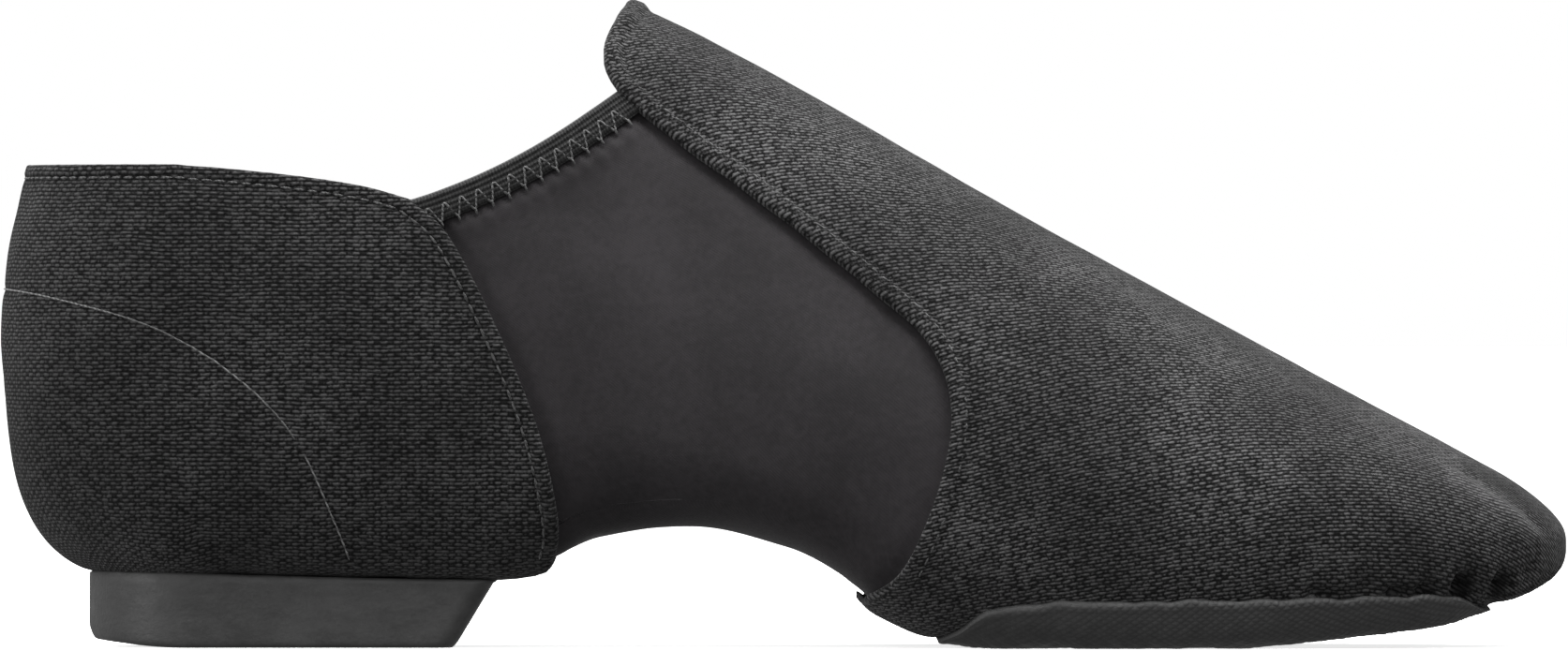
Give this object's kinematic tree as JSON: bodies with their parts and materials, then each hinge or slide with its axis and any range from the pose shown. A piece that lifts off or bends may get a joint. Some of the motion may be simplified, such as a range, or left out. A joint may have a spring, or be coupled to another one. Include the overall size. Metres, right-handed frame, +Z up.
{
  "type": "split-sole dance shoe",
  "caption": "Slip-on dance shoe in canvas with a low heel block, a stretch arch gusset, an elastic-bound topline and a separate forefoot sole patch.",
  "frame": {"origin": "middle of the heel block's flat tread, on the floor", "axes": "+X from the heel to the toe, +Y to the inner (medial) side of this right shoe, +Z up"},
  "size_m": [0.2504, 0.086, 0.1031],
  "materials": {
    "canvas": "black cotton canvas, plain weave, matt",
    "neoprene": "black stretch neoprene with a smooth knit face",
    "elastic": "black ribbed elastic tape",
    "thread": "dark grey polyester thread",
    "lining": "dark cotton lining cloth",
    "heel_rubber": "dark grey rubber, matt",
    "sole_rubber": "black rubber with a fine pattern, matt",
    "insole_board": "cellulose board",
    "foam": "closed-cell foam",
    "counter_board": "heel stiffener sheet"
  },
  "bodies": {
    "heel": {"arch_gusset": "neoprene", "elastic_binding_lateral": "elastic", "elastic_binding_medial": "elastic", "heel_quarter_lateral": "canvas", "heel_quarter_medial": "canvas", "back_seam_tape": "elastic", "heel_counter": "counter_board", "heel_lining": "lining", "heel_block": "heel_rubber", "heel_insole_board": "insole_board", "heel_cushion": "foam", "sock_liner": "lining", "quarter_edge_stitching_lateral": "thread", "quarter_edge_stitching_medial": "thread", "zigzag_stitching_lateral": "thread", "zigzag_stitching_medial": "thread", "topline_stitching": "thread", "counter_stitching": "thread"},
    "forefoot": {"vamp": "canvas", "vamp_lining": "lining", "vamp_edge_stitching_lateral": "thread", "vamp_edge_stitching_medial": "thread", "forefoot_sole": "sole_rubber", "forefoot_insole_board": "insole_board", "forefoot_cushion": "foam"}
  },
  "joints": [
    {"name": "arch_flex", "type": "hinge", "parent": "heel", "child": "forefoot", "pos_m": [0.0646, 0, 0.02], "axis": [0, 1, 0], "range_deg": [-10, 25], "stiffness_Nm_per_rad": 5, "deforming": ["arch_gusset", "elastic_binding_lateral", "elastic_binding_medial", "zigzag_stitching_lateral", "zigzag_stitching_medial", "sock_liner"]}
  ]
}
